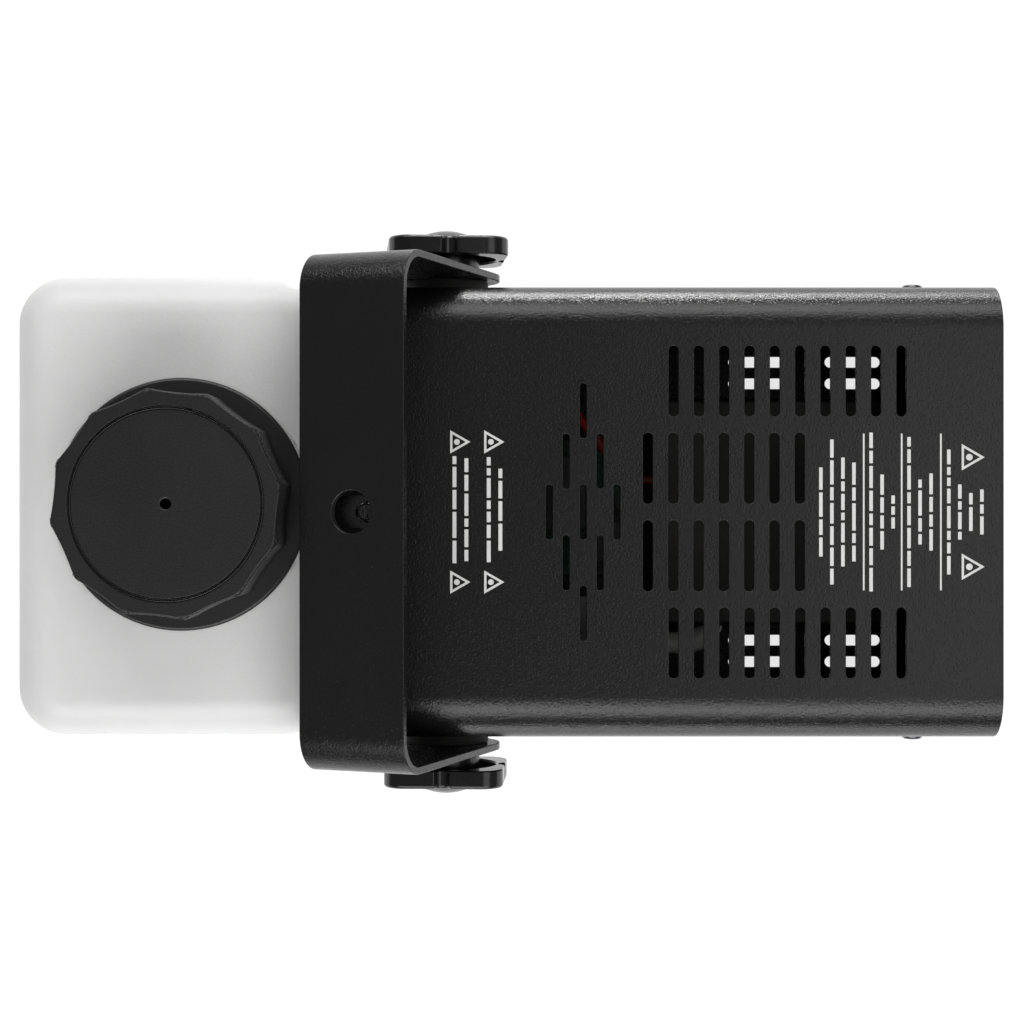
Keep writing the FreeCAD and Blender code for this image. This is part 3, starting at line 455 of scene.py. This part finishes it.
def cast_alloy():
    return surface("cast alloy", (0.52, 0.52, 0.53), 0.55, 0.0012, 0.35, metallic=1.0, tint=0.15)


def ceramic_wool():
    return surface("ceramic wool", (0.70, 0.67, 0.58), 0.95, 0.0014, 1.0, tint=0.12, marks=60.0)


def varnished_winding():
    return surface("varnished winding", (0.36, 0.13, 0.02), 0.28, 0.0005, 0.6, tint=0.2,
                   stretch=(1.0, 0.05, 0.05), coat=0.4)


def natural_nylon():
    return surface("natural nylon", (0.60, 0.59, 0.52), 0.4, 0.0008, 0.1, tint=0.06)


def clear_tube():
    return surface("vinyl tube", (0.60, 0.62, 0.60), 0.18, 0.0015, 0.06, tint=0.05, coat=0.3)


def white_tube():
    return surface("heat-proof tube", (0.80, 0.80, 0.77), 0.25, 0.0015, 0.05, tint=0.04)


def lead_sheath():
    return surface("lead sheath", (0.018, 0.018, 0.018), 0.5, 0.0006, 0.15, tint=0.15)


def red_wire():
    return surface("wire insulation", (0.30, 0.012, 0.008), 0.4, 0.0008, 0.08, tint=0.15)


def socket_plastic():
    return surface("socket plastic", (0.016, 0.016, 0.016), 0.36, 0.0005, 0.16, tint=0.15)


def rocker_plastic():
    return surface("rocker plastic", (0.26, 0.006, 0.004), 0.2, 0.0009, 0.04, tint=0.06, spread=0.04,
                   coat=0.3)


def solder_mask():
    return surface("solder mask", (0.008, 0.085, 0.028), 0.22, 0.0012, 0.15, tint=0.2, marks=120.0, coat=0.3)


def component_plastic():
    return surface("component plastic", (0.05, 0.05, 0.055), 0.45, 0.0006, 0.15, tint=0.2, marks=90.0)


def fuse_glass():
    name = "fuse glass"
    if name in bpy.data.materials:
        return bpy.data.materials[name]
    material = surface(name, (0.85, 0.90, 0.90), 0.06, 0.002, 0.02, tint=0.02, spread=0.02)
    material.node_tree.nodes["Principled BSDF"].inputs["Transmission Weight"].default_value = 0.9
    return material


def screen_ink():
    ink = tuple(bpy.context.scene.fog_print.ink)
    return surface("screen ink", ink, 0.5, 0.0005, 0.15, tint=0.05, marks=200.0)


FINISH_OF_SLOT = {
    "case_powder": powder_coat, "strap_powder": powder_coat, "zinc_black": black_zinc, "hdpe": polyethylene,
    "cap_plastic": cap_plastic, "collar_plastic": collar_plastic, "knob_plastic": knob_plastic,
    "foot_rubber": soft_rubber, "foam": dark_foam, "silicone": pale_silicone, "zinc_steel": plated_steel,
    "shield_steel": shade_dark_steel,
    "brass": turned_brass, "block_alloy": cast_alloy, "wool": ceramic_wool, "thermostat_can": cast_alloy,
    "coil_tape": varnished_winding, "fitting_nylon": natural_nylon, "hose_clear": clear_tube,
    "hose_white": white_tube, "lead_black": lead_sheath, "lead_red": red_wire,
    "socket_plastic": socket_plastic, "rocker_plastic": rocker_plastic, "fuse_glass": fuse_glass,
    "board_green": solder_mask, "component_grey": component_plastic,
}
SLOT_OF_NODE = {part["node"]: part["material_slot"] for part in frame["record"]["subparts"]}


def body_of(node):
    for body, members in frame["record"]["behaviour"]["bodies"].items():
        if node in members:
            return body
    raise ValueError("no body holds " + node)


def softened(node, name, edge, steps=2):
    """Stand a welded, edge-rounded piece in for a node, in the node's own finish."""
    slot = SLOT_OF_NODE[node]
    return settle(fair_copy(node, edge, steps), name, body_of(node), slot, FINISH_OF_SLOT[slot](), node)


# ---------------------------------------------------------------- operators
class FOG_OT_stage(bpy.types.Operator):
    """Set up the camera, the pale floor and the soft lights"""
    bl_idname = "fog.stage"
    bl_label = "Stage"

    def execute(self, context):
        stage = context.scene.fog_stage
        nothing()
        height = COVER_HIGH.z + stage.camera_height
        bpy.ops.object.camera_add(location=(stage.camera_place, 0.0, height), rotation=(0.0, 0.0, 0.0))
        camera = context.object
        camera.name = "camera"
        camera.data.lens = stage.lens
        camera.data.sensor_width = 36.0
        camera.data.clip_start = 0.01
        context.scene.camera = camera
        nothing()
        bpy.ops.mesh.primitive_grid_add(x_subdivisions=4, y_subdivisions=4, size=FLOOR_SIDE,
                                        location=(0, 0, 0))
        floor = context.object
        floor.name = "floor"
        material = bpy.data.materials.new("pale floor")
        material.use_nodes = True
        shader = material.node_tree.nodes["Principled BSDF"]
        shader.inputs["Base Color"].default_value = (FLOOR_TONE, FLOOR_TONE, FLOOR_TONE, 1.0)
        shader.inputs["Roughness"].default_value = 0.85
        shader.inputs["Emission Color"].default_value = (1.0, 1.0, 1.0, 1.0)
        shader.inputs["Emission Strength"].default_value = stage.floor_glow
        floor.data.materials.append(material)
        middle = Vector((0.0, 0.0, 0.10))
        for side, share, reach, rise in ((1, 1.0, 0.80, 0.55), (-1, 0.12, 0.62, 0.70)):
            above = Vector((0.0, side * reach, rise))
            self.soft_light("soft box", above, middle, stage.high_light, SOFT_BOX)
            beside = Vector((0.15, side * 0.32, 0.045))
            edge = Vector((0.15, side * COVER_HIGH.y, COVER_HIGH.z))
            self.soft_light("low strip", beside, edge, stage.low_light * share, LOW_STRIP, 40.0)
        self.soft_light("end box", Vector((0.50, 0.0, 1.0)), middle, stage.end_light, END_BOX)
        world = context.scene.world or bpy.data.worlds.new("soft sky")
        context.scene.world = world
        world.use_nodes = True
        sky = world.node_tree.nodes["Background"]
        sky.inputs["Color"].default_value = (1.0, 1.0, 1.0, 1.0)
        sky.inputs["Strength"].default_value = stage.sky
        context.scene.view_settings.view_transform = "Standard"
        return {"FINISHED"}

    def soft_light(self, name, place, aim, power, size, spread=180.0):
        """A rectangular lamp that faces its aim."""
        turn = (aim - place).to_track_quat("-Z", "Y").to_euler()
        bpy.ops.object.light_add(type="AREA", location=place, rotation=turn)
        light = bpy.context.object
        light.name = name
        light.data.shape = "RECTANGLE"
        light.data.size, light.data.size_y = size
        light.data.energy = power
        light.data.spread = math.radians(spread)


class FOG_OT_finish(bpy.types.Operator):
    """Give every node of the frame the finish of its material slot"""
    bl_idname = "fog.finish"
    bl_label = "Finishes"

    def execute(self, context):
        for node, obj in frame["nodes"].items():
            material = FINISH_OF_SLOT[SLOT_OF_NODE[node]]()
            for slot in obj.material_slots:
                slot.material = material
            if not obj.material_slots:
                obj.data.materials.append(material)
        return {"FINISHED"}


class FOG_OT_case(bpy.types.Operator):
    """Model the coated sheet-metal shells of the case"""
    bl_idname = "fog.case"
    bl_label = "Case"

    def execute(self, context):
        edge = context.scene.fog_case.sheet_edge
        softened("top_cover", "cover_sheet", edge)
        softened("chassis_pan", "chassis_sheet", edge)
        softened("front_panel", "front_sheet", edge)
        softened("rear_bulkhead", "bulkhead_sheet", edge)
        return {"FINISHED"}


class FOG_OT_strap(bpy.types.Operator):
    """Model the hanging strap and the washers that space it from the case"""
    bl_idname = "fog.strap"
    bl_label = "Hanging strap"

    def execute(self, context):
        softened("bracket_strap", "hanging_strap", context.scene.fog_case.strap_edge, 3)
        softened("spacer_washers", "rubber_spacers", 0.0006, 3)
        return {"FINISHED"}


class FOG_OT_knobs(bpy.types.Operator):
    """Model the two lobed knobs that clamp the strap"""
    bl_idname = "fog.knobs"
    bl_label = "Lobed knobs"

    def execute(self, context):
        for side in ("left", "right"):
            softened("knob_" + side, "lobed_knob_" + side, 0.0006, 3)
        return {"FINISHED"}


class FOG_OT_cap(bpy.types.Operator):
    """Model the scalloped screw cap and the collar below it"""
    bl_idname = "fog.cap"
    bl_label = "Filler cap"

    def execute(self, context):
        softened("cap_shell", "screw_cap", context.scene.fog_tank.cap_edge, 3)
        softened("filler_collar", "neck_collar", 0.0004, 2)
        return {"FINISHED"}


class FOG_OT_tank(bpy.types.Operator):
    """Model the blow-moulded tank and its parting line"""
    bl_idname = "fog.tank"
    bl_label = "Fluid tank"

    def execute(self, context):
        tank = context.scene.fog_tank
        softened("tank", "fluid_tank", 0.0004, 2)
        nothing()
        centre = (TANK_LOW + TANK_HIGH) / 2
        level = (TANK_LOW.z + TANK_WALL_TOP) / 2
        wide = TANK_HIGH.x - TANK_LOW.x + 2 * tank.seam_proud
        deep = TANK_HIGH.y - TANK_LOW.y + 2 * tank.seam_proud
        bpy.ops.mesh.primitive_cube_add(size=1.0, location=(centre.x, centre.y, level),
                                        scale=(wide, deep, tank.seam_height))
        seam = context.object
        only(seam)
        bpy.ops.object.transform_apply(location=True, rotation=True, scale=True)
        edges_where(seam, lambda a, b: abs(a.x - b.x) < 1e-6 and abs(a.y - b.y) < 1e-6)
        bpy.ops.mesh.bevel(offset=TANK_CORNER, segments=12, affect="EDGES")
        bpy.ops.object.mode_set(mode="OBJECT")
        faces_where(seam, lambda face: abs(face.normal.z) > 0.9)
        bpy.ops.mesh.inset(thickness=1.2 * MM)
        bpy.ops.mesh.bridge_edge_loops()
        bpy.ops.mesh.select_all(action="SELECT")
        bpy.ops.mesh.normals_make_consistent(inside=False)
        bpy.ops.object.mode_set(mode="OBJECT")
        modify(seam, "BEVEL", width=0.2 * MM, segments=2, limit_method="ANGLE",
               angle_limit=math.radians(50.0))
        smooth(seam)
        settle(seam, "tank_seam", body_of("tank"), "hdpe", polyethylene())
        return {"FINISHED"}


class FOG_OT_screws(bpy.types.Operator):
    """Model the screws, the tank clip and the rubber feet"""
    bl_idname = "fog.screws"
    bl_label = "Screws, clip and feet"

    def execute(self, context):
        softened("cover_screws", "side_screws", 0.00015, 2)
        softened("clip_screw", "top_screw", 0.00015, 2)
        softened("tank_clip", "spring_clip", 0.0002, 2)
        softened("rubber_feet", "moulded_feet", 0.0004, 2)
        softened("nozzle_ring", "nozzle_tip", 0.0003, 2)
        return {"FINISHED"}


class FOG_OT_sockets(bpy.types.Operator):
    """Model the moulded fittings of the rear wall"""
    bl_idname = "fog.sockets"
    bl_label = "Rear sockets"

    def execute(self, context):
        for node, name in (("inlet_body", "mains_socket"), ("switch_body", "switch_frame"),
                           ("switch_rocker", "power_rocker"), ("remote_socket", "remote_shell"),
                           ("fuse_drawer", "fuse_tray")):
            softened(node, name, 0.0002, 2)
        return {"FINISHED"}


class FOG_OT_print(bpy.types.Operator):
    """Print plain bars, rules and empty triangles on the cover"""
    bl_idname = "fog.print"
    bl_label = "Screen print"

    def execute(self, context):
        ink = context.scene.fog_print
        self.dice = random.Random(ink.seed)
        self.face = COVER_HIGH.z + 0.00001
        self.shapes = []
        front = COVER_HIGH.x
        blocks = ((7.2, (14.7, 12.4, 18.0, 40.8)), (23.8, (25.2, 21.2, 49.0)), (36.2, (10.8, 24.5, 51.9)),
                  (49.0, (32.3, 35.6, 47.4, 29.1)))
        for distance, widths in blocks:
            for row, width in enumerate(widths):
                self.words(front - distance * MM - row * LINE_PITCH, 0.0, width * MM, ink.bar)
        for distance in (20.6, 33.4, 45.8):
            self.patch(front - distance * MM, 0.0, ink.rule, 51.2 * MM)
        rear = COVER_LOW.x
        for distance, width in ((38.0, 35.0), (41.9, 33.6), (49.2, 34.3), (53.0, 26.8)):
            self.words(rear + distance * MM, 0.75 * MM, width * MM, ink.bar * 1.1)
        bars = self.joined(ink)
        settle(bars, "print_bars", body_of("top_cover"), "screen_ink", screen_ink())
        for side in (1, -1):
            self.triangle(front - 11.3 * MM, side * 17.9 * MM, 5.0 * MM)
            self.triangle(rear + 38.8 * MM, side * 22.9 * MM, 4.4 * MM)
            self.triangle(rear + 49.9 * MM, side * 22.9 * MM, 4.4 * MM)
        marks = self.joined(ink)
        settle(marks, "print_triangles", body_of("top_cover"), "screen_ink", screen_ink())
        return {"FINISHED"}

    def patch(self, along, across, thick, wide):
        bpy.ops.mesh.primitive_plane_add(size=1.0, location=(along, across, self.face))
        bpy.ops.transform.resize(value=(thick, wide, 1.0))
        self.shapes.append(bpy.context.object)

    def words(self, along, centre, width, height):
        """One line of bars with word-like gaps, centred at one place across the cover."""
        lengths = []
        while sum(lengths) + WORD_GAP * len(lengths) < width - 2.5 * MM:
            lengths.append(self.dice.uniform(2.2, 8.5) * MM)
        total = sum(lengths) + WORD_GAP * (len(lengths) - 1)
        fit = (width - WORD_GAP * (len(lengths) - 1)) / (total - WORD_GAP * (len(lengths) - 1))
        across = centre + width / 2
        for length in lengths:
            self.patch(along, across - length * fit / 2, height, length * fit)
            across -= length * fit + WORD_GAP

    def triangle(self, along, across, radius):
        """An empty triangle with its tip towards the nozzle, round a dot."""
        place = (along, across, self.face)
        bpy.ops.mesh.primitive_circle_add(vertices=3, radius=radius, fill_type="NGON", location=place,
                                          rotation=(0, 0, -math.pi / 2))
        self.shapes.append(bpy.context.object)
        bpy.ops.object.mode_set(mode="EDIT")
        bpy.ops.mesh.select_mode(type="FACE")
        bpy.ops.mesh.select_all(action="SELECT")
        bpy.ops.mesh.inset(thickness=TRIANGLE_LINE)
        bpy.ops.mesh.delete(type="FACE")
        bpy.ops.object.mode_set(mode="OBJECT")
        bpy.ops.mesh.primitive_circle_add(vertices=12, radius=radius * 0.22, fill_type="NGON", location=place)
        self.shapes.append(bpy.context.object)

    def joined(self, ink):
        """Join the flat shapes and give them the ink's thickness."""
        nothing()
        for shape in self.shapes:
            shape.select_set(True)
        sheet = self.shapes[0]
        bpy.context.view_layer.objects.active = sheet
        bpy.ops.object.transform_apply(location=True, rotation=True, scale=True)
        bpy.ops.object.join()
        modify(sheet, "SOLIDIFY", thickness=ink.thickness, offset=1.0)
        self.shapes = []
        return sheet


class FOG_PT_panel(bpy.types.Panel):
    """Lists the pieces in the order they are made"""
    bl_idname = "FOG_PT_panel"
    bl_label = "Fog Machine"
    bl_space_type = "VIEW_3D"
    bl_region_type = "UI"
    bl_category = "Fog Machine"

    def draw(self, context):
        for group in (context.scene.fog_case, context.scene.fog_tank, context.scene.fog_print,
                      context.scene.fog_stage):
            column = self.layout.column()
            for name in group.__annotations__:
                column.prop(group, name)
        for operator in OPERATORS:
            self.layout.operator(operator.bl_idname)


OPERATORS = (FOG_OT_stage, FOG_OT_finish, FOG_OT_case, FOG_OT_strap, FOG_OT_knobs, FOG_OT_cap, FOG_OT_tank,
             FOG_OT_screws, FOG_OT_sockets, FOG_OT_print)
SETTINGS = {"fog_case": FogCaseSettings, "fog_tank": FogTankSettings, "fog_print": FogPrintSettings,
            "fog_stage": FogStageSettings}


def register():
    for name, group in SETTINGS.items():
        bpy.utils.register_class(group)
        setattr(bpy.types.Scene, name, bpy.props.PointerProperty(type=group))
    for operator in OPERATORS:
        bpy.utils.register_class(operator)
    bpy.utils.register_class(FOG_PT_panel)


def unregister():
    bpy.utils.unregister_class(FOG_PT_panel)
    for operator in reversed(OPERATORS):
        bpy.utils.unregister_class(operator)
    for name, group in reversed(SETTINGS.items()):
        delattr(bpy.types.Scene, name)
        bpy.utils.unregister_class(group)


def main():
    register()
    for operator in OPERATORS:
        area, name = operator.bl_idname.split(".")
        getattr(getattr(bpy.ops, area), name)()
    nothing()
    bpy.context.view_layer.update()


if __name__ == "__main__":
    main()
